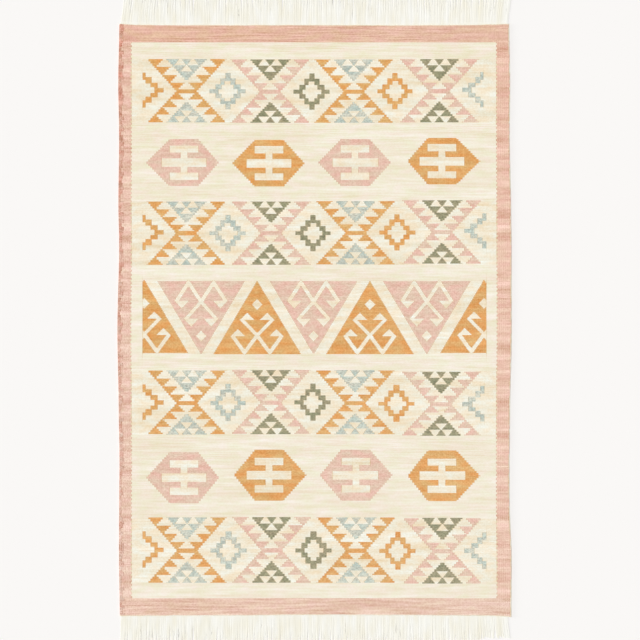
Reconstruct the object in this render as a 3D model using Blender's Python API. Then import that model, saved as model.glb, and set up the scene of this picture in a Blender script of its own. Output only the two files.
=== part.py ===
"""Kilim rug: a flat woven wool cloth with a cut fringe of its own warp ends at both ends.

Metres, +Z up. The rug lies flat on a floor at z = 0, with the origin under its centre.
+X runs across its width and +Y along its length, towards the far fringe.
"""

import math
import random
from collections import namedtuple

import bmesh
import bpy

# Driving dimensions of the cloth.
WIDTH = 1.200
LENGTH = 1.810
THICKNESS = 0.004
SELVEDGE_ROUND = 0.0012
CELLS_ACROSS = 24
CELLS_ALONG = 36

# Driving dimensions of each fringe.
LOCKS = 148
FRINGE_INSET = 0.008
PARTING_GAP = 0.0004
WEB_DEPTH = 0.004
WEB_HEIGHT = 0.0032
LOCK_ROOT_WIDTH = 0.0051
LOCK_LENGTH = 0.084
LOCK_LENGTH_SPREAD = 0.003
LOCK_SWAY = 0.0008
CROWN_SHARE = 0.62
LEAN_CURVE = 1.5

# How far each side stands out from a straight edge, by the share of the length from the far end.
SideRow = namedtuple("SideRow", "share left right")
SIDES = [
    SideRow(0.00, -0.0024, -0.0042),
    SideRow(0.10, 0.0012, -0.0012),
    SideRow(0.19, -0.0016, -0.0026),
    SideRow(0.31, 0.0008, 0.0015),
    SideRow(0.37, -0.0018, 0.0032),
    SideRow(0.52, 0.0038, 0.0038),
    SideRow(0.65, -0.0003, -0.0015),
    SideRow(0.74, -0.0030, -0.0031),
    SideRow(0.81, -0.0015, -0.0029),
    SideRow(0.90, -0.0009, 0.0036),
    SideRow(1.00, -0.0038, 0.0026),
]

# How far each end stands out from a straight edge, by the share of the width from the left.
EndRow = namedtuple("EndRow", "share far near")
ENDS = [
    EndRow(0.00, 0.0050, 0.0014),
    EndRow(0.05, 0.0010, 0.0010),
    EndRow(0.30, 0.0000, 0.0000),
    EndRow(0.46, 0.0004, -0.0024),
    EndRow(0.66, -0.0006, -0.0014),
    EndRow(0.90, 0.0006, 0.0000),
    EndRow(0.96, 0.0020, 0.0008),
    EndRow(1.00, 0.0044, 0.0046),
]

# How far the locks lean to +X at their tips and how long they are, by the share of the width.
FringeRow = namedtuple("FringeRow", "share far_lean near_lean far_length near_length")
FRINGE = [
    FringeRow(0.00, 0.0130, 0.0010, 1.00, 1.00),
    FringeRow(0.05, 0.0070, -0.0010, 1.00, 1.00),
    FringeRow(0.14, 0.0010, 0.0010, 1.00, 1.00),
    FringeRow(0.30, -0.0020, -0.0015, 1.00, 1.00),
    FringeRow(0.50, 0.0015, 0.0010, 1.00, 1.00),
    FringeRow(0.72, -0.0010, -0.0010, 1.00, 1.00),
    FringeRow(0.89, 0.0020, 0.0010, 1.00, 1.00),
    FringeRow(0.94, 0.0050, 0.0030, 1.00, 0.80),
    FringeRow(1.00, 0.0110, 0.0060, 1.00, 0.76),
]

# A lock's section along its length: it rests level on the floor and thins towards its tip.
LockRow = namedtuple("LockRow", "share width height")
LOCK_SECTIONS = [
    LockRow(0.14, 0.0053, 0.0030),
    LockRow(0.56, 0.0050, 0.0026),
    LockRow(1.00, 0.0032, 0.0018),
]

# How the meshes are shaped and shaded. A grid starts 1 m square around the origin.
HALF_GRID = 0.5
RIM_ANGLE = math.radians(60)
RIM_STEPS = 2
RIM_PROFILE = 0.5
SHARP_ANGLE = math.radians(35)

# Rough colours in linear light, and how matt each yarn is.
WOOL_COLOUR = (0.80, 0.66, 0.50, 1.0)
COTTON_COLOUR = (0.86, 0.83, 0.74, 1.0)
YARN_ROUGHNESS = 0.9


def clear_scene():
    for obj in list(bpy.data.objects):
        bpy.data.objects.remove(obj)


def mix(low, high, t):
    return low + (high - low) * t


def read_table(rows, share, column):
    """The column's value at a share of the way, eased between the two rows around it."""
    for before, after in zip(rows, rows[1:]):
        if share <= after.share:
            t = (share - before.share) / (after.share - before.share)
            eased = t * t * (3 - 2 * t)
            return mix(getattr(before, column), getattr(after, column), eased)
    return getattr(rows[-1], column)


def cloth_point(across, along):
    """Where a point of the cloth lies, from its shares across from the left and along from the far end."""
    left = -WIDTH / 2 - read_table(SIDES, along, "left")
    right = WIDTH / 2 + read_table(SIDES, along, "right")
    far = LENGTH / 2 + read_table(ENDS, across, "far")
    near = -LENGTH / 2 - read_table(ENDS, across, "near")
    return mix(left, right, across), mix(far, near, along)


def cloth_end(x, along):
    """The y of the cloth's end at x, on the straight runs between the points of its outline."""
    points = [cloth_point(i / CELLS_ACROSS, along) for i in range(CELLS_ACROSS + 1)]
    for (x0, y0), (x1, y1) in zip(points, points[1:]):
        if x <= x1:
            return mix(y0, y1, (x - x0) / (x1 - x0))
    return points[-1][1]


def yarn_material(name, colour):
    material = bpy.data.materials.new(name)
    material.use_nodes = True
    shader = material.node_tree.nodes["Principled BSDF"]
    shader.inputs["Base Color"].default_value = colour
    shader.inputs["Roughness"].default_value = YARN_ROUGHNESS
    shader.inputs["Metallic"].default_value = 0.0
    material.diffuse_color = colour
    return material


def add_object(collection, name, bm, material):
    """Turns the bmesh into a named object at the origin, with its faces pointing out."""
    bmesh.ops.recalc_face_normals(bm, faces=bm.faces)
    mesh = bpy.data.meshes.new(name)
    bm.to_mesh(mesh)
    bm.free()
    mesh.materials.append(material)
    mesh.shade_smooth()
    mesh.set_sharp_from_angle(angle=SHARP_ANGLE)
    obj = bpy.data.objects.new(name, mesh)
    collection.objects.link(obj)
    return obj


def slab_from_grid(bm, height):
    """Raises a copy of the flat grid to the height, which closes it into a slab with walls."""
    made = bmesh.ops.extrude_face_region(bm, geom=bm.faces[:], use_keep_orig=True)
    for part in made["geom"]:
        if isinstance(part, bmesh.types.BMVert):
            part.co.z = height
    bmesh.ops.recalc_face_normals(bm, faces=bm.faces)


def woven_cloth(collection, material):
    """The cloth: one flat sheet with a handwoven rug's wandering outline and rounded edges."""
    bm = bmesh.new()
    bmesh.ops.create_grid(
        bm, x_segments=CELLS_ACROSS, y_segments=CELLS_ALONG, size=HALF_GRID
    )
    for vert in bm.verts:
        vert.co.x, vert.co.y = cloth_point(vert.co.x + HALF_GRID, HALF_GRID - vert.co.y)
    slab_from_grid(bm, THICKNESS)
    rims = [edge for edge in bm.edges if edge.calc_face_angle(0) > RIM_ANGLE]
    bmesh.ops.bevel(
        bm,
        geom=rims,
        offset=SELVEDGE_ROUND,
        segments=RIM_STEPS,
        profile=RIM_PROFILE,
        affect="EDGES",
    )
    return add_object(collection, "woven_cloth", bm, material)


def web_edges():
    """The shares of the web's width where its cells part: a gap, a lock, a gap, and so on."""
    width = WIDTH - 2 * FRINGE_INSET
    gap = (width - LOCKS * LOCK_ROOT_WIDTH) / (LOCKS + 1)
    edges = [0.0]
    for _ in range(LOCKS):
        edges.append(edges[-1] + gap / width)
        edges.append(edges[-1] + LOCK_ROOT_WIDTH / width)
    edges.append(1.0)
    return edges


def place_section(face, centre_x, y, row):
    """Moves a lock's end face to its next section, with its lower side level on the floor."""
    middle = face.calc_center_median()
    for vert in face.verts:
        upper = vert.co.z > middle.z
        side = 1 if vert.co.x > middle.x else -1
        half = row.width / 2 * (CROWN_SHARE if upper else 1.0)
        vert.co = (centre_x + side * half, y, row.height if upper else 0.0)


def grow_lock(bm, face, outward, lean, length, sway):
    """Draws one lock out of the web, section by section, along its own slightly bent line."""
    root = face.calc_center_median()
    for row, bend in zip(LOCK_SECTIONS, sway):
        face = bmesh.ops.extrude_discrete_faces(bm, faces=[face])["faces"][0]
        x = root.x + lean * row.share**LEAN_CURVE + bend * row.share
        place_section(face, x, root.y + outward * length * row.share, row)


def fringe(collection, material, name, along, outward, end, seed):
    """A narrow web of warp ends beside the cloth's end, with the locks of yarn that grow from it."""
    edges = web_edges()
    inner_width = WIDTH - 2 * FRINGE_INSET
    bm = bmesh.new()
    bmesh.ops.create_grid(
        bm, x_segments=len(edges) - 1, y_segments=1, size=HALF_GRID
    )
    for vert in bm.verts:
        edge = round((vert.co.x + HALF_GRID) * (len(edges) - 1))
        x = inner_width * (edges[edge] - 0.5)
        away = PARTING_GAP + (WEB_DEPTH if vert.co.y > 0 else 0.0)
        vert.co = (x, cloth_end(x, along) + outward * away, 0.0)
    slab_from_grid(bm, WEB_HEIGHT)

    # The web's outer wall holds a gap, a lock, a gap and so on, so every second face is a root.
    walls = [face for face in bm.faces if face.normal.y * outward > math.cos(RIM_ANGLE)]
    walls.sort(key=lambda face: face.calc_center_median().x)
    chance = random.Random(seed)
    for face in walls[1::2]:
        share = face.calc_center_median().x / inner_width + 0.5
        lean = read_table(FRINGE, share, end + "_lean")
        length = LOCK_LENGTH * read_table(FRINGE, share, end + "_length")
        length += chance.uniform(-LOCK_LENGTH_SPREAD, LOCK_LENGTH_SPREAD)
        sway = [chance.uniform(-LOCK_SWAY, LOCK_SWAY) for _ in LOCK_SECTIONS]
        grow_lock(bm, face, outward, lean, length, sway)
    return add_object(collection, name, bm, material)


def build():
    clear_scene()
    collection = bpy.data.collections.new("kilim_rug")
    bpy.context.scene.collection.children.link(collection)
    wool = yarn_material("flat_woven_wool", WOOL_COLOUR)
    cotton = yarn_material("cotton_warp_yarn", COTTON_COLOUR)
    woven_cloth(collection, wool)
    fringe(collection, cotton, "fringe_far", 0.0, 1, "far", seed=3)
    fringe(collection, cotton, "fringe_near", 1.0, -1, "near", seed=8)


build()
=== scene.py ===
"""The looks of a kilim rug: flat-woven wool cloth with a cut fringe of cotton warp at both ends."""

import math
from collections import namedtuple

import bpy
import numpy as np
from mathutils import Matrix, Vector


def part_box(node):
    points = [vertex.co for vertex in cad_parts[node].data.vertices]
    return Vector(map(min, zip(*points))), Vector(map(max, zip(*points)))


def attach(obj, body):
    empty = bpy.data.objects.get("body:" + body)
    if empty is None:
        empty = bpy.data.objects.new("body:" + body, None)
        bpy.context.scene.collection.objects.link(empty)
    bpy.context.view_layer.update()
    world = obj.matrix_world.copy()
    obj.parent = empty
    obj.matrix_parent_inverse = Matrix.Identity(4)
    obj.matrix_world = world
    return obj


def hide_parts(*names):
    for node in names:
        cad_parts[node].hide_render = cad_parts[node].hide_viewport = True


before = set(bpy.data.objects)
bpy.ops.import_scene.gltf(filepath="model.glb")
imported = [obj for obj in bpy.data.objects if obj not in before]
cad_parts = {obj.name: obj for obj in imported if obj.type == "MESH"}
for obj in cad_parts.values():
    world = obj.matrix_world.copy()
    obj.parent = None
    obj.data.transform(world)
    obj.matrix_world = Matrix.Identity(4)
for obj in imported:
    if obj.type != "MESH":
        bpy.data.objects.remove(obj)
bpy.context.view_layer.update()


# Woven cloth.
# A kilim: one flat piece of weft-faced weave about 4 mm thick, alike on both faces. Dyed wool
# weft, beaten down hard, hides the cotton warp, and each warp shows as a rib along the rug.

# The weaver's chart says which yarn each rib shows at each weft row. The real ribs are about
# 2 mm apart, and are drawn at 3 mm so that they are real ridges.
CLOTH_WIDTH = 1.200
CLOTH_LENGTH = 1.810
RIBS = 392
ROWS = 1448
RIB = CLOTH_WIDTH / RIBS
ROW = CLOTH_LENGTH / ROWS

PINK, LEFT_PINK, RIGHT_PINK, DEEP_PINK, CREAM, IVORY, ROSE, OCHRE, BLUE, GREEN = range(10)

chart = np.full((RIBS, ROWS), PINK)
rib_x = (np.arange(RIBS) + 0.5) * RIB - CLOTH_WIDTH / 2
row_y = CLOTH_LENGTH / 2 - (np.arange(ROWS) + 0.5) * ROW


def weave(yarn, corners, left=-CLOTH_WIDTH, right=CLOTH_WIDTH, step=1, middle=0, beat=(1, 1)):
    """Gives the yarn to the cells inside the outline. A step is that many ribs wide.

    The beat stretches what lies above and below the middle, where the weft was beaten looser.
    """
    corners = [(x, middle + (y - middle) * beat[int(y < middle)]) for x, y in corners]
    xs, ys = zip(*corners)
    ribs = slice(*np.searchsorted(rib_x, (max(min(xs) - RIB, left), min(max(xs) + RIB, right))))
    rows = slice(*np.searchsorted(-row_y, (-max(ys), -min(ys))))
    step_x = rib_x[np.arange(RIBS) // step * step] + (step - 1) * RIB / 2
    x, y = np.meshgrid(step_x[ribs], row_y[rows], indexing="ij")
    inside = np.full(x.shape, False)
    for (x0, y0), (x1, y1) in zip(corners, corners[1:] + corners[:1]):
        if y0 != y1:
            crossing = x0 + (x1 - x0) * (y - y0) / (y1 - y0)
            inside ^= ((y0 > y) != (y1 > y)) & (x < crossing)
    chart[ribs, rows][inside] = yarn


def block(yarn, x, y, half_width, half_height, **limits):
    """A rectangle around a middle point."""
    sides = ((-1, -1), (1, -1), (1, 1), (-1, 1))
    weave(yarn, [(x + a * half_width, y + b * half_height) for a, b in sides], **limits)


def triangle(yarn, x, base_y, half_width, height, **limits):
    """A triangle on a level base, pointing up, or down where the height is negative."""
    corners = [(x - half_width, base_y), (x + half_width, base_y), (x, base_y + height)]
    weave(yarn, corners, **limits)


def steps(yarn, x, y, treads, **limits):
    """A stepped lozenge: blocks on one middle point, each narrower and taller than the last."""
    for half_width, half_height in treads:
        block(yarn, x, y, half_width, half_height, **limits)


# The field lies inside a pink border. At the sides the border's weft only runs to and fro
# inside it, each side with a dye lot of its own. The turns at the left selvedge were woven with
# a deeper yarn, and most at the right one show pale. The first and last picks are the pale
# cotton of the warp.
LEFT_BORDER = 0.0393
RIGHT_BORDER = 0.0430
END_BORDER = 0.0535
FIELD_MIDDLE = (LEFT_BORDER - RIGHT_BORDER) / 2
FIELD_HALF_WIDTH = (CLOTH_WIDTH - LEFT_BORDER - RIGHT_BORDER) / 2
FIELD_HALF_LENGTH = CLOTH_LENGTH / 2 - END_BORDER
DOVETAIL_ROWS = 5
TURN_ROWS = 9
TURN_SEED = 5
DEEP_RIBS = (2, 6)
PALE_TURNS = 0.7
COTTON_PICKS = 2

block(LEFT_PINK, -CLOTH_WIDTH / 2, 0, CLOTH_WIDTH / 2, FIELD_HALF_LENGTH)
block(RIGHT_PINK, CLOTH_WIDTH / 2, 0, CLOTH_WIDTH / 2, FIELD_HALF_LENGTH)
chance = np.random.default_rng(TURN_SEED)
for first in range(0, ROWS, TURN_ROWS):
    chart[: chance.integers(*DEEP_RIBS), first : first + TURN_ROWS] = DEEP_PINK
    if chance.random() < PALE_TURNS:
        chart[-1, first : first + TURN_ROWS] = IVORY
chart[:, :COTTON_PICKS] = IVORY
chart[:, -COTTON_PICKS:] = IVORY
block(CREAM, FIELD_MIDDLE, 0, FIELD_HALF_WIDTH, FIELD_HALF_LENGTH)

# At the sides the field's yarn and the border's turn round the same warp by turns.
across_field = np.flatnonzero(chart[:, ROWS // 2] == CREAM)
field_rows = np.flatnonzero(np.abs(row_y) < FIELD_HALF_LENGTH)
for row in field_rows:
    if row // DOVETAIL_ROWS % 2:
        chart[across_field[0] - 1, row] = CREAM
        chart[across_field[-1] + 1, row] = CREAM

# The bands of motifs end at a straight line inside the field.
PATTERN_LEFT = -0.5275
PATTERN_RIGHT = 0.5253
PATTERN = {"left": PATTERN_LEFT, "right": PATTERN_RIGHT}

# The X motif: a bar, and four arms that are each four teeth climbing outwards.
X_CENTRES = (-0.3940, -0.1355, 0.1230, 0.3870)
BAND_HALF_HEIGHT = 0.0975
BAR = (0.0320, 0.0065)
TEETH = 4
TOOTH_WIDTH = 0.0478
TOOTH_HEIGHT = 0.0238
TOOTH_STEP = 0.0218
ARM_START = 0.0325
ARM_RISE = 0.0020
SPINE_WIDTH = 0.0062
STEP_RIBS = 2

# The tip between two arms: a triangle of three rows of small ones, with pale ones between.
# A row says how many pale ones it has, its height, and half the width of their heads.
TIP_HALF_WIDTH = 0.0613
TIP_HEIGHT = 0.0660
TIP_ROWS = ((2, 0.0190, 0.0045), (1, 0.0185, 0.0030))
TIP_PALE_FOOT = 0.0185
TIP_PALE_APART = 0.0380

# The stepped ring between two X motifs, as half widths and half heights.
RING_CENTRES = (-0.2670, -0.0070, 0.2500)
RING_OUTSIDE = ((0.0549, 0.0061), (0.0380, 0.0218), (0.0233, 0.0395), (0.0080, 0.0561))
RING_INSIDE = ((0.0291, 0.0070), (0.0184, 0.0196), (0.0092, 0.0307))
HALF_RING_OUTSIDE = ((0.0656, 0.0068), (0.0466, 0.0224), (0.0270, 0.0395), (0.0107, 0.0540))
HALF_RING_INSIDE = ((0.0368, 0.0086), (0.0251, 0.0205), (0.0107, 0.0313))


def tooth_arms(yarn, x, y, **limits):
    """The bar of an X and its four arms, whose teeth hang together on a thin slope outside."""
    block(yarn, x, y, *BAR, **limits)
    reach, climb = TOOTH_STEP * TEETH, TOOTH_HEIGHT * TEETH
    for side in (-1, 1):
        for rise in (-1, 1):
            foot, low = x + side * ARM_START, y + rise * ARM_RISE
            slope = [(foot, low), (foot + side * reach, low + rise * climb)]
            slope += [(across - side * SPINE_WIDTH, up) for across, up in reversed(slope)]
            weave(yarn, slope, step=STEP_RIBS, **limits)
            for level in range(1, TEETH + 1):
                middle = x + side * (ARM_START + TOOTH_STEP * level - TOOTH_WIDTH / 2)
                base = y + rise * (ARM_RISE + TOOTH_HEIGHT * level)
                height = -rise * TOOTH_HEIGHT
                triangle(yarn, middle, base, TOOTH_WIDTH / 2, height, step=STEP_RIBS, **limits)


def tip(yarn, x, edge, toward, **limits):
    """A tip whose base lies on the band's edge and which points to the band's middle."""
    triangle(yarn, x, edge, TIP_HALF_WIDTH, toward * TIP_HEIGHT, step=STEP_RIBS, **limits)
    head_y = edge
    for pale_ones, height, head in TIP_ROWS:
        foot_y = head_y + toward * height
        for i in range(pale_ones):
            across = x + TIP_PALE_APART * (i - (pale_ones - 1) / 2)
            foot = [(across - TIP_PALE_FOOT, foot_y), (across + TIP_PALE_FOOT, foot_y)]
            weave(IVORY, foot + [(across + head, head_y), (across - head, head_y)], **limits)
        head_y = foot_y


# Handwork strays: how far a band's motifs lie to the right at its left and right end, how far
# up at its left end, middle and right end, how far its last half ring lies to the right, and
# how much the halves of its motifs above and below the middle are stretched.
Band = namedtuple("Band", "y right_at rise_at last beat")
BANDS = (
    Band(0.7031, (0.0035, -0.0060), (-0.0010, -0.0035, -0.0005), -0.0065, (1.012, 0.981)),
    Band(0.2667, (0.0010, 0.0042), (0.0000, 0.0000, 0.0045), 0.0, (0.997, 0.992)),
    Band(-0.2529, (0.0030, 0.0005), (-0.0020, 0.0010, -0.0070), -0.0060, (1.033, 0.980)),
    Band(-0.7056, (0.0035, 0.0050), (0.0000, 0.0010, -0.0030), 0.0010, (1.047, 1.013)),
)
HALF_RING_RISE = 0.0025


def ring_band(band):
    """A band of four X motifs with stepped rings between them and half rings at its ends."""

    def strayed(x):
        right = np.interp(x, (PATTERN_LEFT, PATTERN_RIGHT), band.right_at)
        rise = np.interp(x, (PATTERN_LEFT, 0, PATTERN_RIGHT), band.rise_at)
        return x + right, band.y + rise

    beaten = {"middle": band.y, "beat": band.beat}
    block(IVORY, FIELD_MIDDLE, band.y, FIELD_HALF_WIDTH, BAND_HALF_HEIGHT)
    for i, centre in enumerate(X_CENTRES):
        x, y = strayed(centre)
        tooth_arms((OCHRE, ROSE)[i % 2], x, y, **beaten)
        for toward in (-1, 1):
            tip((BLUE, GREEN)[i % 2], x, y - toward * BAND_HALF_HEIGHT, toward, **beaten)
    for yarn, centre in zip((BLUE, GREEN, OCHRE), RING_CENTRES):
        steps(yarn, *strayed(centre), RING_OUTSIDE, **beaten)
        steps(IVORY, *strayed(centre), RING_INSIDE, **beaten)
    for yarn, x in ((OCHRE, PATTERN_LEFT), (BLUE, PATTERN_RIGHT + band.last)):
        y = strayed(x)[1] + HALF_RING_RISE
        limits = {"left": PATTERN_LEFT, "right": PATTERN_RIGHT + band.last, **beaten}
        steps(yarn, x, y, HALF_RING_OUTSIDE, **limits)
        steps(IVORY, x, y, HALF_RING_INSIDE, **limits)


# The hexagon, with a pale sign of three bars on a stem. Its two side points stray to the right
# or left on their own.
Hexagon = namedtuple("Hexagon", "x y tips_right")
HEXAGON_ROWS = (
    (
        Hexagon(-0.4002, 0.4828, -0.0043),
        Hexagon(-0.1390, 0.4810, -0.0021),
        Hexagon(0.1250, 0.4831, -0.0020),
        Hexagon(0.3909, 0.4873, 0.0049),
    ),
    (
        Hexagon(-0.3996, -0.4820, -0.0043),
        Hexagon(-0.1387, -0.4742, 0.0029),
        Hexagon(0.1260, -0.4742, 0.0015),
        Hexagon(0.3912, -0.4760, 0.0048),
    ),
)
HEXAGON_HALF_WIDTH = 0.1103
HEXAGON_HALF_TOP = 0.0430
HEXAGON_HALF_HEIGHTS = (0.0716, 0.0778)
SIGN_BAR_Y = 0.0418
SIGN_BAR = (0.0445, 0.0110)
SIGN_MIDDLE = (0.0696, 0.0131)
SIGN_STEM = 0.0107


def hexagon(yarn, x, y, tips_right, half_height):
    """A hexagon around a middle point, with its sign."""
    points = [(HEXAGON_HALF_TOP, half_height), (HEXAGON_HALF_WIDTH, 0)]
    points += [(HEXAGON_HALF_TOP, -half_height)]
    points += [(-across, -up) for across, up in points]
    strayed = [(x + across + (0 if up else tips_right), y + up) for across, up in points]
    weave(yarn, strayed, step=STEP_RIBS)
    block(IVORY, x, y, *SIGN_MIDDLE)
    block(IVORY, x, y, SIGN_STEM, SIGN_BAR_Y)
    for side in (-1, 1):
        block(IVORY, x, y + side * SIGN_BAR_Y, *SIGN_BAR)


# The row of large triangles, each with a pale ram's horn motif and a small lozenge.
LARGE_TOP = 0.1205
LARGE_BOTTOM = -0.1033
LARGE_HALF_WIDTH = 0.1335
ROSE_CENTRES = (-0.3473, -0.0028, 0.3440)
OCHRE_CENTRES = (-0.1756, 0.1698)
EDGE_INSET = 0.0060
EDGE_CENTRES = (PATTERN_LEFT + EDGE_INSET, PATTERN_RIGHT - EDGE_INSET)
EDGE_RISE = 0.0035
HORN_WIDTH = 0.0150
HORN_CROSSING = 0.0573
HORN_FOOT = (0.0386, 0.0040)
OUTER_HOOK = (0.0821, 0.0543)
INNER_HOOK = (0.0536, 0.1042)
HOOK_HALF_WIDTH = 0.0230
HOOK_HEIGHT = 0.0225
LOZENGE_Y = 0.1517
LOZENGE = (0.0166, 0.0172)
ROSE_STRETCH = 1.11


def strand(x0, y0, x1, y1):
    """A slanting arm of the horn, as wide as HORN_WIDTH along the weft."""
    half = HORN_WIDTH / 2
    corners = [(x0 - half, y0), (x0 + half, y0), (x1 + half, y1), (x1 - half, y1)]
    weave(IVORY, corners, **PATTERN)


def ram_horn(x, base_y, up):
    """The horn, measured from the triangle's base. Up is 1, -1 or a stretched one of these."""
    foot_x, foot_y = HORN_FOOT
    foot = base_y + up * foot_y
    crossing = base_y + up * HORN_CROSSING
    for side in (-1, 1):
        strand(x, crossing, x + side * foot_x, foot)
        triangle(IVORY, x + side * foot_x, foot, HORN_WIDTH / 2, -2 * up * foot_y, **PATTERN)
        for hook_x, hook_y, from_x, from_y in (
            (*OUTER_HOOK, foot_x, foot),
            (*INNER_HOOK, 0, crossing),
        ):
            level = base_y + up * hook_y
            strand(x + side * from_x, from_y, x + side * (hook_x - HORN_WIDTH / 2), level)
            middle = x + side * (hook_x - HOOK_HALF_WIDTH)
            triangle(IVORY, middle, level, HOOK_HALF_WIDTH, up * HOOK_HEIGHT, **PATTERN)
    half_width, half_height = LOZENGE
    for side in (-1, 1):
        middle = base_y + up * LOZENGE_Y
        triangle(IVORY, x, middle, half_width, side * half_height, **PATTERN)


def large_triangle(yarn, x, base_y, up, stretch):
    """A large triangle on its base, with its horn stretched along the rug."""
    height = up * (LARGE_TOP - LARGE_BOTTOM)
    triangle(yarn, x, base_y, LARGE_HALF_WIDTH, height, **PATTERN)
    ram_horn(x, base_y, up * stretch)


# The bands, then the hexagons, then the row of large triangles.
for band in BANDS:
    ring_band(band)
for row, half_height in zip(HEXAGON_ROWS, HEXAGON_HALF_HEIGHTS):
    for i, place in enumerate(row):
        hexagon((ROSE, OCHRE)[i % 2], *place, half_height)
large_middle = (LARGE_TOP + LARGE_BOTTOM) / 2
block(IVORY, 0, large_middle, PATTERN_RIGHT, (LARGE_TOP - LARGE_BOTTOM) / 2)
for x in ROSE_CENTRES:
    large_triangle(ROSE, x, LARGE_TOP, -1, ROSE_STRETCH)
for x in OCHRE_CENTRES:
    large_triangle(OCHRE, x, LARGE_BOTTOM, 1, 1)
for x in EDGE_CENTRES:
    large_triangle(OCHRE, x, LARGE_BOTTOM + EDGE_RISE, 1, 1)


# The cloth's mesh. On top each rib is a low ridge, cut where its yarn changes, and the rim is
# turned round like a selvedge. Its outline is the solid's, read from the points of its wall,
# which are the only ones between two heights.
NODE_WALL = (0.0011, 0.0029)
WALL_REACH = 0.010
WANDER_DEPTH = 0.060
RIM_INSET = 0.0007
RELIEF = 0.00035
RIM_SHARES = (0.74, 0.26)
EDGE_RIBS = 20
EDGE_RUN = 40
SHARP_ANGLE = math.radians(40)
BAKE_MARGIN = 0.012
BAKE_RIM = 0.003

cloth_low, cloth_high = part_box("woven_cloth")
THICKNESS = cloth_high.z - cloth_low.z

wall = np.array([v.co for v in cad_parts["woven_cloth"].data.vertices])
wall = wall[(wall[:, 2] > NODE_WALL[0]) & (wall[:, 2] < NODE_WALL[1])]


def outline(along, axis, sign):
    """How far one side or end of the cloth stands off its straight line, by the place along it."""
    half = (CLOTH_WIDTH / 2, CLOTH_LENGTH / 2)[axis]
    points = wall[sign * wall[:, axis] > half - WALL_REACH]
    points = points[np.argsort(points[:, 1 - axis])]
    return np.interp(along, points[:, 1 - axis], points[:, axis] - sign * half)


def lay(x, y):
    """Moves points of the chart to where they lie on the uneven cloth: only its rim wanders."""
    near_side = np.clip(1 - (CLOTH_WIDTH / 2 - np.abs(x)) / WANDER_DEPTH, 0, 1)
    near_end = np.clip(1 - (CLOTH_LENGTH / 2 - np.abs(y)) / WANDER_DEPTH, 0, 1)
    off_side = np.where(x < 0, outline(y, 0, -1), outline(y, 0, 1))
    off_end = np.where(y < 0, outline(x, 1, -1), outline(x, 1, 1))
    return x + off_side * near_side, y + off_end * near_end


# A rib's yarn runs from cut to cut. Even lines lie between ribs, and odd ones are the crowns.
# Each line has a point at every cut of the ribs beside it, so no face leaves a gap. Near the
# selvedges the ribs have more cuts, so that they can follow the rim.
cuts = []
for rib in range(RIBS):
    ends = {0, ROWS, *(np.flatnonzero(np.diff(chart[rib])) + 1).tolist()}
    if min(rib, RIBS - 1 - rib) < EDGE_RIBS:
        ends |= set(range(0, ROWS, EDGE_RUN))
    cuts.append(sorted(ends))
valleys = [sorted({*a, *b}) for a, b in zip([cuts[0], *cuts], [*cuts, cuts[-1]])]
line_cuts = [valleys[i // 2] if i % 2 == 0 else cuts[i // 2] for i in range(2 * RIBS + 1)]
starts = np.cumsum([0] + [len(rows) for rows in line_cuts])
face_points = starts[-1]
line_of = np.repeat(np.arange(len(line_cuts)), [len(rows) for rows in line_cuts])
flat_x = line_of * RIB / 2 - CLOTH_WIDTH / 2
flat_y = CLOTH_LENGTH / 2 - ROW * np.concatenate(line_cuts)


def stretch_of_line(line, start, end):
    """The points of a line from one row to another."""
    rows = line_cuts[line]
    first, final = np.searchsorted(rows, (start, end))
    return [(rows[i], starts[line] + i) for i in range(first, final + 1)]


def zip_lines(left, right):
    """Faces between two lines that start and end on the same rows, each across the short way."""
    made = []
    i = j = 0
    while i < len(left) - 1 or j < len(right) - 1:
        here_left, here_right = left[i], right[j]
        next_left = left[min(i + 1, len(left) - 1)]
        next_right = right[min(j + 1, len(right) - 1)]
        cross_left = abs(next_left[0] - here_right[0])
        cross_right = abs(next_right[0] - here_left[0])
        level = here_left[0] == here_right[0] and next_left[0] == next_right[0]
        go_left = next_left != here_left and (
            level or next_right == here_right or cross_left <= cross_right
        )
        go_right = next_right != here_right and (level or not go_left)
        face = [here_left[1]]
        if go_left:
            i += 1
            face.append(next_left[1])
        if go_right:
            j += 1
            face.append(next_right[1])
        made.append(face + [here_right[1]])
    return made


# The rim runs once round the face: down the left side, along the near end, and back.
last = len(line_cuts) - 1
rim = [starts[0] + i for i in range(len(line_cuts[0]))]
rim += [starts[line + 1] - 1 for line in range(1, last + 1)]
rim += [starts[last] + i for i in range(len(line_cuts[last]) - 2, -1, -1)]
rim += [starts[line] for line in range(last - 1, 0, -1)]

inset_x = np.clip(flat_x, RIM_INSET - CLOTH_WIDTH / 2, CLOTH_WIDTH / 2 - RIM_INSET)
inset_y = np.clip(flat_y, RIM_INSET - CLOTH_LENGTH / 2, CLOTH_LENGTH / 2 - RIM_INSET)
laid_x, laid_y = lay(inset_x, inset_y)
rim_x, rim_y = lay(flat_x[rim], flat_y[rim])
top_z = THICKNESS - RELIEF * (1 - line_of % 2)

# On a real one a narrow slit stands open wherever two yarns turn back side by side, along the
# line between their ribs. Here it isn't cut: its place is marked, and the wool there is painted
# darker, as painted shade in the open slit.
slit_after = np.zeros(face_points, bool)
for rib in range(1, RIBS):
    rows = line_cuts[2 * rib]
    differ = chart[rib - 1, rows[:-1]] != chart[rib, rows[:-1]]
    slit_after[starts[2 * rib] : starts[2 * rib + 1] - 1] = differ
levels = [(laid_x, laid_y, top_z)]
levels += [(rim_x, rim_y, np.full(len(rim), THICKNESS * share)) for share in RIM_SHARES]
levels += [(laid_x, laid_y, np.zeros(face_points))]
points = np.concatenate([np.column_stack(level) for level in levels])
back_start = face_points + 2 * len(rim)


def fan(middle, corners):
    """Faces that join a point to each side of an open row of corners."""
    return [[middle, a, b] for a, b in zip(corners, corners[1:])]


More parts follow.
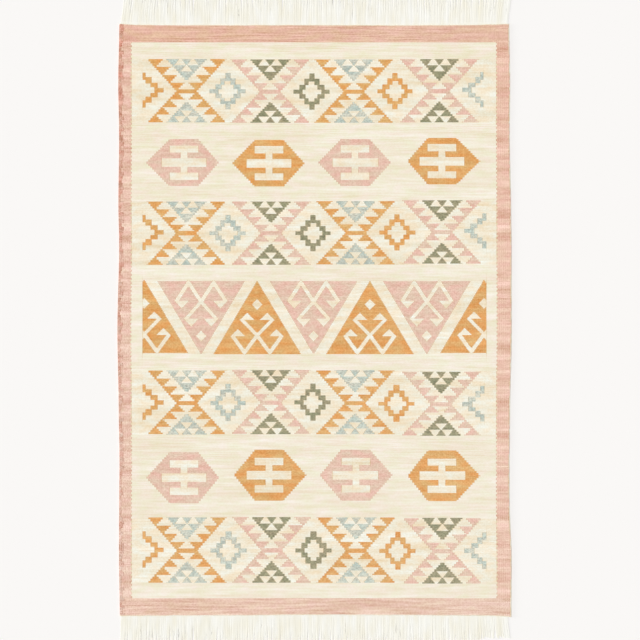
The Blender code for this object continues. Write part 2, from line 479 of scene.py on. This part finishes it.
faces, face_yarns, back_faces, back_yarns = [], [], [], []
for rib in range(RIBS):
    for start, end in zip(cuts[rib], cuts[rib][1:]):
        left, crown, right = (stretch_of_line(2 * rib + i, start, end) for i in range(3))
        top = zip_lines(left, crown) + zip_lines(crown, right)
        back = zip_lines(left, right)
        if start == 0:
            back[:1] = fan(crown[0][1], back[0])
        if end == ROWS:
            closing = back.pop()
            turned = closing.index(right[-1][1])
            back += fan(crown[-1][1], closing[turned:] + closing[:turned])
        faces += top
        back_faces += [[back_start + point for point in reversed(face)] for face in back]
        face_yarns += [chart[rib, start]] * len(top)
        back_yarns += [chart[rib, start]] * len(back)
top_count = len(faces)

rings = [
    rim,
    list(range(face_points, face_points + len(rim))),
    list(range(face_points + len(rim), back_start)),
    [back_start + point for point in rim],
]
rim_ribs = np.clip(line_of[rim] // 2, 0, RIBS - 1)
rim_rows = np.clip(np.concatenate(line_cuts)[rim], 0, ROWS - 1)
rim_yarns = chart[rim_ribs, rim_rows].tolist()
for upper, lower in zip(rings, rings[1:]):
    quads = zip(upper, lower, lower[1:] + lower[:1], upper[1:] + upper[:1])
    faces += [list(quad) for quad in quads]
    face_yarns += rim_yarns
faces += back_faces
face_yarns += back_yarns

# Points that no face uses, along the crowns of the flat back, are left out.
face_sizes = [len(face) for face in faces]
used, corners = np.unique(np.concatenate(faces), return_inverse=True)
cloth_mesh = bpy.data.meshes.new("woven_cloth")
face_ends = np.cumsum(face_sizes)[:-1]
corner_lists = [face.tolist() for face in np.split(corners, face_ends)]
cloth_mesh.from_pydata(points[used].tolist(), [], corner_lists)
cloth_mesh.polygons.foreach_set("material_index", face_yarns)

# A corner is in the slit where the face's own stretch of line runs along one.
in_slit = []
for face in faces:
    for before, point, after in zip(face[-1:] + face[:-1], face, face[1:] + face[:1]):
        neighbours = [other % back_start for other in (before, after)]
        own = point % back_start
        lines = [(min(own, other), max(own, other)) for other in neighbours]
        in_slit.append(any(b - a == 1 and a < face_points and slit_after[a] for a, b in lines))
slit_layer = cloth_mesh.attributes.new("slit", "FLOAT", "CORNER")
slit_layer.data.foreach_set("value", np.array(in_slit, float))

# The weave's own coordinates are metres on the chart. The bake's lay both faces side by side,
# and the rim's rings beside them.
corner_points = used[corners]
rim_side = np.sign(flat_x[rim]) * np.isclose(np.abs(flat_x[rim]), CLOTH_WIDTH / 2)
rim_end = np.sign(flat_y[rim]) * np.isclose(np.abs(flat_y[rim]), CLOTH_LENGTH / 2)
flat = np.zeros(face_points)
chart_place = []
bake_place = []
for half, flat_line, push in ((CLOTH_WIDTH, flat_x, rim_side), (CLOTH_LENGTH, flat_y, rim_end)):
    place = np.concatenate([flat_line, flat_line[rim], flat_line[rim], flat_line])
    chart_place.append(place[corner_points])
    pushed = np.concatenate([flat, push, 2 * push, flat])[corner_points]
    bake_place.append((chart_place[-1] + BAKE_RIM * pushed) / (half + 2 * BAKE_MARGIN) + 0.5)
on_back = np.repeat([False, True], [top_count + 2 * len(rim), len(rim) + len(back_faces)])
on_back = np.repeat(on_back, face_sizes)
bake_place[0] = (bake_place[0] + on_back) / 2
for name, place in (("weave", chart_place), ("OFBake", bake_place)):
    layer = cloth_mesh.uv_layers.new(name=name)
    layer.uv.foreach_set("vector", np.column_stack(place).ravel())
cloth_mesh.shade_smooth()
cloth_mesh.set_sharp_from_angle(angle=SHARP_ANGLE)
cloth = bpy.data.objects.new("kilim_cloth", cloth_mesh)
bpy.context.scene.collection.objects.link(cloth)


# The cloth's yarns. Each is hand-spun wool dyed in small lots. So its colour drifts between a
# cooler and a warmer one, and its tone runs in streaks along the weft, in broader bars where a
# new lot starts, and in flecks. The real weft rows are about 1.5 mm high, and are drawn at
# twice that, so that they show.
PICK = 0.0031
PICKS_APART = 3.7
STREAK_LENGTH = 0.110
DRIFT_CONTRAST = 3.0
# How much darker a slit is painted: painted shade in the open slit.
SLIT_SHADE = 0.34
PALE_CORNER = "#f6eee2"
PALING_SLOPE = (0.25, -0.39, 0.0)
FIBRE_HEIGHT = 0.5
WOOL_BUMP = {"Strength": 0.5, "Distance": 0.0003}
WOOL_FINISH = {
    "Roughness": 0.92,
    "Specular IOR Level": 0.2,
    "Sheen Weight": 0.08,
    "Sheen Roughness": 0.5,
}

# Patches of the dye, bars of its lots and loose fibres: how far apart along and across the rug.
# The fibres are drawn much coarser than they are, so that they show.
Patch = namedtuple("Patch", "height width detail")
PATCHES = {
    "drift": Patch(0.020, 0.045, 1.0),
    "lot": Patch(0.034, 0.30, 2.0),
    "fibre": Patch(0.0007, 0.0007, 2.0),
}

# A deeper tone takes more from blue and green than from red, by each yarn's own shares.
REDDENS = (0.60, 1.00, 1.20)
YELLOWS = (0.50, 1.00, 1.60)
PALES = (0.60, 1.00, 1.70)
GREYS = (1.00, 1.00, 1.00)
# A yarn's rib says how much darker every second rib is painted: painted shade between pairs of warps.
Yarn = namedtuple("Yarn", "name cool warm deepens streak lot fleck rib fade")
YARNS = (
    Yarn("pink_wool", "#e3b99b", "#e7b6a3", REDDENS, 0.98, 0.22, 0.24, 0.05, 0.30),
    Yarn("left_pink_wool", "#e8c4ac", "#edc1b0", REDDENS, 0.60, 1.10, 0.30, 0.07, 0.22),
    Yarn("right_pink_wool", "#e7bda3", "#ecbaa7", REDDENS, 0.56, 1.35, 0.20, 0.09, 0.22),
    Yarn("deep_pink_wool", "#cea18b", "#db9b87", REDDENS, 0.50, 1.40, 0.50, 0.12, 0.46),
    Yarn("cream_wool", "#f1ebce", "#f8ebda", PALES, 0.32, 0.26, 0.06, 0.005, 0.30),
    Yarn("ivory_wool", "#f3efdd", "#f6e6c9", PALES, 0.30, 0.40, 0.12, 0.02, 0.10),
    Yarn("rose_wool", "#e4c8b1", "#eabdac", REDDENS, 0.42, 0.22, 0.28, 0.15, 0.10),
    Yarn("ochre_wool", "#dfb06f", "#e6a159", YELLOWS, 0.52, 0.40, 0.32, 0.15, 0.06),
    Yarn("blue_wool", "#bbc8be", "#d0cfbf", GREYS, 0.50, 0.34, 0.42, 0.09, 0.06),
    Yarn("green_wool", "#919171", "#a29879", GREYS, 0.44, 0.30, 0.50, 0.10, 0.08),
)


def linear(colour):
    """An sRGB hex value as linear red, green and blue, with alpha."""
    channels = [int(colour[i : i + 2], 16) / 255 for i in (1, 3, 5)]
    light = [c / 12.92 if c <= 0.04045 else ((c + 0.055) / 1.055) ** 2.4 for c in channels]
    return [*light, 1.0]


def add(tree, kind, inputs=(), **settings):
    """Adds a node, or takes the tree's own node of that name, and gives it settings and inputs.

    An input is a value, an output, or a node that gives its first output.
    """
    node = tree.nodes.get(kind) or tree.nodes.new(kind)
    for name, value in settings.items():
        setattr(node, name, value)
    for key, value in dict(inputs).items():
        if isinstance(value, bpy.types.Node):
            value = value.outputs[0]
        if isinstance(value, bpy.types.NodeSocket):
            tree.links.new(value, node.inputs[key])
        else:
            node.inputs[key].default_value = value
    return node


def dyed_wool(yarn, seed):
    """One yarn's wool: matt, streaked along the weft, with a soft bloom of loose fibres.

    It is drawn on the weave's own map in metres, and the seed is the third coordinate.
    """
    material = bpy.data.materials.new(yarn.name)
    material.use_nodes = True
    tree = material.node_tree
    weave_map = add(tree, "ShaderNodeUVMap", uv_map="weave")
    x, y, _ = add(tree, "ShaderNodeSeparateXYZ", {0: weave_map}).outputs
    across = add(tree, "ShaderNodeMath", {0: x, 1: 1 / RIB, 2: RIBS / 2}, operation="MULTIPLY_ADD")
    rib = add(tree, "ShaderNodeMath", {0: across}, operation="FLOOR")
    along = add(tree, "ShaderNodeMath", {0: y, 1: PICK}, operation="DIVIDE")
    pick = add(tree, "ShaderNodeMath", {0: along}, operation="FLOOR")
    noises = {}
    for name, patch in PATCHES.items():
        scale = (1 / patch.width, 1 / patch.height, 1)
        inputs = {"Vector": weave_map, "Location": (0, 0, seed), "Scale": scale}
        spot = add(tree, "ShaderNodeMapping", inputs)
        inputs = {"Vector": spot, "Scale": 1.0, "Detail": patch.detail}
        noises[name] = add(tree, "ShaderNodeTexNoise", inputs)

    # The dye drifts between its two colours in patches a few centimetres long.
    inputs = {0: noises["drift"], 1: DRIFT_CONTRAST, 2: 0.5 - DRIFT_CONTRAST / 2}
    share = add(tree, "ShaderNodeMath", inputs, operation="MULTIPLY_ADD")
    inputs = {0: share, 6: linear(yarn.cool), 7: linear(yarn.warm)}
    dyed = add(tree, "ShaderNodeMix", inputs, data_type="RGBA").outputs[2]

    # The colour grows paler from the far left corner towards the near right one.
    corner = add(tree, "ShaderNodeVectorMath", {0: weave_map, 1: PALING_SLOPE}, operation="DOT_PRODUCT")
    inputs = {0: corner.outputs["Value"], 1: yarn.fade, 2: yarn.fade / 2}
    fade = add(tree, "ShaderNodeMath", inputs, operation="MULTIPLY_ADD")
    inputs = {0: fade, 6: dyed, 7: linear(PALE_CORNER)}
    paled = add(tree, "ShaderNodeMix", inputs, data_type="RGBA").outputs[2]

    # One weft row keeps its tone for a hand's breadth, and the next row has its own. Each turn
    # of the yarn over a warp differs a little.
    row = add(tree, "ShaderNodeMath", {0: pick, 1: PICKS_APART}, operation="MULTIPLY")
    run = add(tree, "ShaderNodeMath", {0: x, 1: STREAK_LENGTH}, operation="DIVIDE")
    spot = add(tree, "ShaderNodeCombineXYZ", {0: run, 1: row, 2: seed})
    streak = add(tree, "ShaderNodeTexNoise", {"Vector": spot, "Scale": 1.0, "Detail": 1.0})
    spot = add(tree, "ShaderNodeCombineXYZ", {0: rib, 1: pick, 2: seed})
    fleck = add(tree, "ShaderNodeTexWhiteNoise", {"Vector": spot})

    # The warps lie in pairs, and every second rib is painted a little darker, as painted shade in
    # the dip between the pairs. A slit is painted darker still, as painted shade in the open slit.
    # The tone stands for how much lighter than its colour the yarn is.
    pair = add(tree, "ShaderNodeMath", {0: rib, 1: 2.0}, operation="MODULO")
    slit = add(tree, "ShaderNodeAttribute", attribute_name="slit").outputs["Fac"]
    shade = add(tree, "ShaderNodeMath", {0: slit, 1: -SLIT_SHADE, 2: 1.0}, operation="MULTIPLY_ADD")
    uneven = add(tree, "ShaderNodeCombineXYZ", {0: streak, 1: noises["lot"], 2: fleck})
    strengths = (yarn.streak, yarn.lot, yarn.fleck)
    uneven = add(tree, "ShaderNodeVectorMath", {0: uneven, 1: strengths}, operation="DOT_PRODUCT")
    level = 1 - (sum(strengths) + yarn.rib) / 2
    pair_shaded = add(tree, "ShaderNodeMath", {0: pair, 1: yarn.rib, 2: level}, operation="MULTIPLY_ADD")
    light = add(tree, "ShaderNodeMath", {0: uneven.outputs["Value"], 1: pair_shaded}, operation="ADD")
    tone = add(tree, "ShaderNodeMath", {0: light, 1: shade, 2: -1.0}, operation="MULTIPLY_ADD")
    inputs = {0: yarn.deepens, 1: tone, 2: (1, 1, 1)}
    tinted = add(tree, "ShaderNodeVectorMath", inputs, operation="MULTIPLY_ADD")
    colour = add(tree, "ShaderNodeVectorMath", {0: paled, 1: tinted}, operation="MULTIPLY")

    # Each pick passes over every second rib, so its beads are set as bricks are.
    brick = add(tree, "ShaderNodeMath", {0: pair, 1: 0.5, 2: along}, operation="MULTIPLY_ADD")
    turn = add(tree, "ShaderNodeMath", {0: brick, 1: math.pi}, operation="MULTIPLY")
    wave = add(tree, "ShaderNodeMath", {0: turn}, operation="SINE")
    bead = add(tree, "ShaderNodeMath", {0: wave}, operation="ABSOLUTE")
    inputs = {0: noises["fibre"], 1: FIBRE_HEIGHT, 2: bead}
    height = add(tree, "ShaderNodeMath", inputs, operation="MULTIPLY_ADD")
    bump = add(tree, "ShaderNodeBump", {"Height": height, **WOOL_BUMP})
    add(tree, "Principled BSDF", {"Base Color": colour, "Normal": bump, **WOOL_FINISH})
    return material


for seed, yarn in enumerate(YARNS):
    cloth_mesh.materials.append(dyed_wool(yarn, 10.0 * seed))
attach(cloth, "root")
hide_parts("woven_cloth")


# Fringes.
# The undyed cotton warp runs out of the cloth at both ends and is cut about 8 cm long. Its
# loosely twisted yarns lie flat on the floor, side by side and over each other. The real ones
# are more and finer, with a shorter twist. These are coarse enough to show, so neighbours merge.
FRINGE_INSET = 0.008
YARNS_AN_END = 430
YARN_LENGTH = 0.084
YARN_SIDES = 6
LENGTH_SPREAD = 0.004
LEAN_SPREAD = 0.0025
SECOND_LAYER = 0.0014
SECOND_LAYER_SHARE = 0.45

# The sizes that the yarns' node tree asks for, and the curves that it bends them by.
YARN_SIZES = {
    "Outward": 1.0,
    "Radius": 0.0027,
    "Wave": 0.0022,
    "Wave length": 0.030,
    "Root height": 0.0062,
    "Taper": 0.30,
    "Flatness": 0.22,
    "Segments": 9,
}
LEAN_CURVE = 1.5
WAVE_ONSET = 0.6
WAVES_APART = 5.3
FALL_RATE = 9.0
TAPER_CURVE = 3.0

FringeRow = namedtuple("FringeRow", "share far_lean near_lean far_length near_length")
FRINGE = (
    FringeRow(0.00, 0.0130, 0.0010, 1.00, 1.00),
    FringeRow(0.05, 0.0070, -0.0010, 1.00, 1.00),
    FringeRow(0.14, 0.0010, 0.0010, 1.00, 1.00),
    FringeRow(0.30, -0.0020, -0.0015, 1.00, 1.00),
    FringeRow(0.50, 0.0015, 0.0010, 1.00, 1.00),
    FringeRow(0.72, -0.0010, -0.0010, 1.00, 1.00),
    FringeRow(0.89, 0.0020, 0.0010, 1.00, 1.00),
    FringeRow(0.94, 0.0050, 0.0030, 1.00, 0.80),
    FringeRow(1.00, 0.0110, 0.0060, 1.00, 0.76),
)


def fringe_column(share, column):
    """The column's value at a share of the cloth's width."""
    return np.interp(share, [r.share for r in FRINGE], [getattr(r, column) for r in FRINGE])


def warp_roots(end, outward, seed):
    """A point at each yarn's root on the cloth's end, with the yarn's own lean and length."""
    chance = np.random.default_rng(seed)
    share = (np.arange(YARNS_AN_END) + 0.5) / YARNS_AN_END
    x = (share - 0.5) * (CLOTH_WIDTH - 2 * FRINGE_INSET)
    y = outward * CLOTH_LENGTH / 2 + outline(x, 1, outward)
    y -= outward * RIM_INSET
    mesh = bpy.data.meshes.new("roots_" + end)
    mesh.from_pydata(np.column_stack([x, y, np.zeros_like(x)]).tolist(), [], [])
    length = YARN_LENGTH * fringe_column(share, end + "_length")
    values = {
        "yarn": np.arange(YARNS_AN_END, dtype=float),
        "lean": fringe_column(share, end + "_lean") + chance.normal(0, LEAN_SPREAD, YARNS_AN_END),
        "length": length + chance.uniform(-LENGTH_SPREAD, LENGTH_SPREAD, YARNS_AN_END),
        "layer": SECOND_LAYER * (chance.random(YARNS_AN_END) < SECOND_LAYER_SHARE),
    }
    for column, numbers in values.items():
        attribute = mesh.attributes.new(column, "FLOAT", "POINT")
        attribute.data.foreach_set("value", numbers)
    roots = bpy.data.objects.new("roots_" + end, mesh)
    bpy.context.scene.collection.objects.link(roots)
    return roots


def fringe_tree(material):
    """Lays one yarn from each root, bends it by its own lean and wave, and gives it thickness."""
    tree = bpy.data.node_groups.new("loose_warp_yarns", "GeometryNodeTree")
    tree.interface.new_socket("Geometry", in_out="INPUT", socket_type="NodeSocketGeometry")
    for name, size in YARN_SIZES.items():
        kind = "NodeSocketInt" if isinstance(size, int) else "NodeSocketFloat"
        tree.interface.new_socket(name, in_out="INPUT", socket_type=kind)
    tree.interface.new_socket("Geometry", in_out="OUTPUT", socket_type="NodeSocketGeometry")
    given = add(tree, "NodeGroupInput").outputs
    own = {}
    for name in ("yarn", "lean", "length", "layer"):
        own[name] = add(tree, "GeometryNodeInputNamedAttribute", {"Name": name})

    straight = add(tree, "GeometryNodeCurvePrimitiveLine", {"Start": (0, 0, 0), "End": (0, 1, 0)})
    count = add(tree, "ShaderNodeMath", {0: given["Segments"], 1: 1.0}, operation="ADD")
    divided = add(tree, "GeometryNodeResampleCurve", {"Curve": straight, "Count": count})
    reach = add(tree, "ShaderNodeMath", {0: own["length"], 1: given["Outward"]}, operation="MULTIPLY")
    scale = add(tree, "ShaderNodeCombineXYZ", {0: 1.0, 1: reach, 2: 1.0})
    inputs = {"Points": given["Geometry"], "Instance": divided, "Scale": scale}
    laid = add(tree, "GeometryNodeInstanceOnPoints", inputs)
    loose = add(tree, "GeometryNodeRealizeInstances", {0: laid})

    # Each yarn waves more from its root to its tip, in its own way, and leans to its own side.
    share = add(tree, "GeometryNodeSplineParameter").outputs["Factor"]
    along = add(tree, "ShaderNodeMath", {0: share, 1: own["length"]}, operation="MULTIPLY")
    step = add(tree, "ShaderNodeMath", {0: along, 1: given["Wave length"]}, operation="DIVIDE")
    row = add(tree, "ShaderNodeMath", {0: own["yarn"], 1: WAVES_APART}, operation="MULTIPLY")
    spot = add(tree, "ShaderNodeCombineXYZ", {0: row, 1: step})
    noise = add(tree, "ShaderNodeTexNoise", {"Vector": spot, "Scale": 1.0, "Detail": 1.0})
    swing = add(tree, "ShaderNodeMath", {0: noise, 1: 2.0, 2: -1.0}, operation="MULTIPLY_ADD")
    widest = add(tree, "ShaderNodeMath", {0: swing, 1: given["Wave"]}, operation="MULTIPLY")
    onset = add(tree, "ShaderNodeMath", {0: share, 1: WAVE_ONSET}, operation="POWER")
    wave = add(tree, "ShaderNodeMath", {0: widest, 1: onset}, operation="MULTIPLY")
    bend = add(tree, "ShaderNodeMath", {0: share, 1: LEAN_CURVE}, operation="POWER")
    inputs = {0: bend, 1: own["lean"], 2: wave}
    sideways = add(tree, "ShaderNodeMath", inputs, operation="MULTIPLY_ADD")

    # A yarn leaves the middle of the cloth's edge and comes down to the floor, or to the
    # yarns under it, within a finger's width.
    run = add(tree, "ShaderNodeMath", {0: share, 1: -FALL_RATE}, operation="MULTIPLY")
    fall = add(tree, "ShaderNodeMath", {0: run}, operation="EXPONENT")
    bed = add(tree, "ShaderNodeMath", {0: given["Radius"], 1: own["layer"]}, operation="ADD")
    up = add(tree, "ShaderNodeMix", {0: fall, 2: bed, 3: given["Root height"]}, data_type="FLOAT")
    offset = add(tree, "ShaderNodeCombineXYZ", {0: sideways, 1: 0.0, 2: up})
    bent = add(tree, "GeometryNodeSetPosition", {"Geometry": loose, "Offset": offset})

    # The material asks how far along the yarn a point is, and where around it.
    inputs = {"Geometry": bent, "Name": "along", "Value": along}
    spine = add(tree, "GeometryNodeStoreNamedAttribute", inputs, domain="POINT")
    inputs = {"Resolution": YARN_SIDES, "Radius": 1.0}
    ring = add(tree, "GeometryNodeCurvePrimitiveCircle", inputs, mode="RADIUS")
    inputs = {"Geometry": ring, "Name": "around", "Value": add(tree, "GeometryNodeInputPosition")}
    kept = {"data_type": "FLOAT_VECTOR", "domain": "POINT"}
    around = add(tree, "GeometryNodeStoreNamedAttribute", inputs, **kept)

    # It thins towards its tip and is pressed flat by its weight.
    curve = add(tree, "ShaderNodeMath", {0: share, 1: TAPER_CURVE}, operation="POWER")
    thinner = add(tree, "ShaderNodeMath", {0: curve, 1: given["Taper"]}, operation="MULTIPLY")
    left = add(tree, "ShaderNodeMath", {0: 1.0, 1: thinner}, operation="SUBTRACT")
    thick = add(tree, "ShaderNodeMath", {0: left, 1: given["Radius"]}, operation="MULTIPLY")
    inputs = {"Curve": spine, "Profile Curve": around, "Scale": thick, "Fill Caps": True}
    solid = add(tree, "GeometryNodeCurveToMesh", inputs)
    pressed = add(tree, "ShaderNodeCombineXYZ", {0: 1.0, 1: 1.0, 2: given["Flatness"]})
    flat = add(tree, "GeometryNodeTransform", {"Geometry": solid, "Scale": pressed})
    smooth = add(tree, "GeometryNodeSetShadeSmooth", {"Geometry": flat})
    real = add(tree, "GeometryNodeRealizeInstances", {0: smooth})
    finished = add(tree, "GeometryNodeSetMaterial", {"Geometry": real, "Material": material})
    add(tree, "NodeGroupOutput", {0: finished})
    return tree


# The cotton's two ends of tone, the level that it starts from, and how much of it comes from
# the plies, as painted shade between them, from the yarn's own and from the lock's.
COTTON_DEEP_AND_SHADED = "#f3efdf"
COTTON_PALE_AND_LIT = "#f9f8f1"
COTTON_LEVEL = -0.95
COTTON_TONES = (0.2, 0.25, 2.5)
TWIST_PITCH = 0.007
PLY_ROUND = 0.6
YARNS_A_LOCK = 9.0
COTTON_BUMP = {"Strength": 0.2, "Distance": 0.0003}
COTTON_FINISH = {"Roughness": 0.9, "Specular IOR Level": 0.25, "Sheen Weight": 0.05}


def twisted_cotton():
    """Undyed two-ply cotton: slanting turns of the two plies, with painted shade between them, and a
    faint shift of tone.
    """
    material = bpy.data.materials.new("undyed_cotton_yarn")
    material.use_nodes = True
    tree = material.node_tree
    yarn = add(tree, "ShaderNodeAttribute", attribute_name="yarn").outputs["Fac"]
    along = add(tree, "ShaderNodeAttribute", attribute_name="along").outputs["Fac"]
    around = add(tree, "ShaderNodeAttribute", attribute_name="around").outputs["Vector"]
    side_x, side_y, _ = add(tree, "ShaderNodeSeparateXYZ", {0: around}).outputs
    angle = add(tree, "ShaderNodeMath", {0: side_y, 1: side_x}, operation="ARCTAN2")
    inputs = {0: along, 1: math.pi / TWIST_PITCH, 2: angle}
    turn = add(tree, "ShaderNodeMath", inputs, operation="MULTIPLY_ADD")
    wave = add(tree, "ShaderNodeMath", {0: turn}, operation="SINE")
    ridge = add(tree, "ShaderNodeMath", {0: wave}, operation="ABSOLUTE")
    # The ply's tone is painted light and shade: lighter on the crown of each ply, darker in the
    # groove between.
    ply = add(tree, "ShaderNodeMath", {0: ridge, 1: PLY_ROUND}, operation="POWER")

    # Neighbours hang together in locks, and each lock and yarn has a tone of its own.
    spot = add(tree, "ShaderNodeCombineXYZ", {0: yarn, 1: 0.0, 2: 0.0})
    own = add(tree, "ShaderNodeTexWhiteNoise", {"Vector": spot})
    across = add(tree, "ShaderNodeMath", {0: yarn, 1: YARNS_A_LOCK}, operation="DIVIDE")
    reach = add(tree, "ShaderNodeMath", {0: along, 1: YARN_LENGTH}, operation="DIVIDE")
    spot = add(tree, "ShaderNodeCombineXYZ", {0: across, 1: reach})
    lock = add(tree, "ShaderNodeTexNoise", {"Vector": spot, "Scale": 1.0, "Detail": 1.0})
    tones = add(tree, "ShaderNodeCombineXYZ", {0: ply, 1: own, 2: lock})
    tones = add(tree, "ShaderNodeVectorMath", {0: tones, 1: COTTON_TONES}, operation="DOT_PRODUCT")
    tone = add(tree, "ShaderNodeMath", {0: tones.outputs["Value"], 1: COTTON_LEVEL}, operation="ADD")
    inputs = {0: tone, 6: linear(COTTON_DEEP_AND_SHADED), 7: linear(COTTON_PALE_AND_LIT)}
    colour = add(tree, "ShaderNodeMix", inputs, data_type="RGBA").outputs[2]
    bump = add(tree, "ShaderNodeBump", {"Height": ply, **COTTON_BUMP})
    add(tree, "Principled BSDF", {"Base Color": colour, "Normal": bump, **COTTON_FINISH})
    return material


def plain_mesh(obj, name):
    """The evaluated object as a plain mesh object, in place of the one with the modifier."""
    depsgraph = bpy.context.evaluated_depsgraph_get()
    mesh = bpy.data.meshes.new_from_object(obj.evaluated_get(depsgraph))
    mesh.name = name
    made = bpy.data.objects.new(name, mesh)
    bpy.context.scene.collection.objects.link(made)
    bpy.data.objects.remove(obj)
    return made


cotton = twisted_cotton()
loose_yarns = fringe_tree(cotton)
for end, outward, seed in (("far", 1, 3), ("near", -1, 8)):
    roots = warp_roots(end, outward, seed)
    modifier = roots.modifiers.new("yarns", "NODES")
    modifier.node_group = loose_yarns
    end_sizes = {**YARN_SIZES, "Outward": float(outward)}
    for item in loose_yarns.interface.items_tree:
        if item.name in end_sizes:
            modifier[item.identifier] = end_sizes[item.name]
    yarns = plain_mesh(roots, "fringe_yarns_" + end)
    yarns.data.set_sharp_from_angle(angle=SHARP_ANGLE)
    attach(yarns, "root")
    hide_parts("fringe_" + end)


# The floor, the light and the camera.
# A plain pale floor without an end, soft light from above and a little from the left, and a
# camera that looks straight down, as far off as shows the rug's fringes cut by the frame.
# The floor lies a hair below the rug's back, so that the two never fight in the render.
FLOOR_SIZE = 60.0
FLOOR_DROP = 0.0002
PAPER_COLOUR = "#faf8f6"
bpy.ops.mesh.primitive_plane_add(size=FLOOR_SIZE, location=(0, 0, -FLOOR_DROP))
floor = bpy.context.object
floor.name = "studio_floor"

# Studio paper is quite matt. So it shows no gleam, only the rug's soft contact shadow.
paper = bpy.data.materials.new("matt_studio_paper")
paper.use_nodes = True
paper_finish = {"Base Color": linear(PAPER_COLOUR), "Roughness": 1.0, "Specular IOR Level": 0.0}
add(paper.node_tree, "Principled BSDF", paper_finish)
floor.data.materials.append(paper)

# The paper runs up behind the rug. So past the floor's end the camera sees the paper's colour,
# and the light that comes from there stays white and weak.
DOME_SHARE = 0.22
DOME_COLOUR = "#ffffff"
world = bpy.data.worlds.new("studio")
world.use_nodes = True
dome = world.node_tree
seen = add(dome, "ShaderNodeLightPath").outputs["Is Camera Ray"]
weak_or_full = {0: seen, 1: 1 - DOME_SHARE, 2: DOME_SHARE}
strength = add(dome, "ShaderNodeMath", weak_or_full, operation="MULTIPLY_ADD")
white_or_paper = {0: seen, 6: linear(DOME_COLOUR), 7: linear(PAPER_COLOUR)}
backdrop = add(dome, "ShaderNodeMix", white_or_paper, data_type="RGBA").outputs[2]
add(dome, "Background", {"Color": backdrop, "Strength": strength})
bpy.context.scene.world = world


def soft_sun(name, height, turn, width, share):
    """A wide sun, at a height over the floor and a turn from -X, that gives a share of its light."""
    sun = bpy.data.lights.new(name, "SUN")
    sun.angle = math.radians(width)
    sun.energy = share * math.pi / math.sin(math.radians(height))
    lamp = bpy.data.objects.new(name, sun)
    lamp.rotation_euler = (0, math.radians(height - 90), math.radians(-turn))
    bpy.context.scene.collection.objects.link(lamp)


soft_sun("soft_box_above", height=72, turn=15, width=45, share=0.715)
soft_sun("soft_box_low", height=13, turn=10, width=15, share=0.065)

FRAME_WIDTH = 1.9616
FRAME_CENTRE = (0.0169, 0.0009)
LENS = 90.0
SENSOR = 36.0
camera = bpy.data.cameras.new("camera")
camera.lens = LENS
camera.sensor_width = SENSOR
camera_object = bpy.data.objects.new("camera", camera)
camera_object.location = (*FRAME_CENTRE, FRAME_WIDTH * LENS / SENSOR)
bpy.context.scene.collection.objects.link(camera_object)
bpy.context.scene.camera = camera_object
bpy.context.scene.view_settings.view_transform = "Standard"
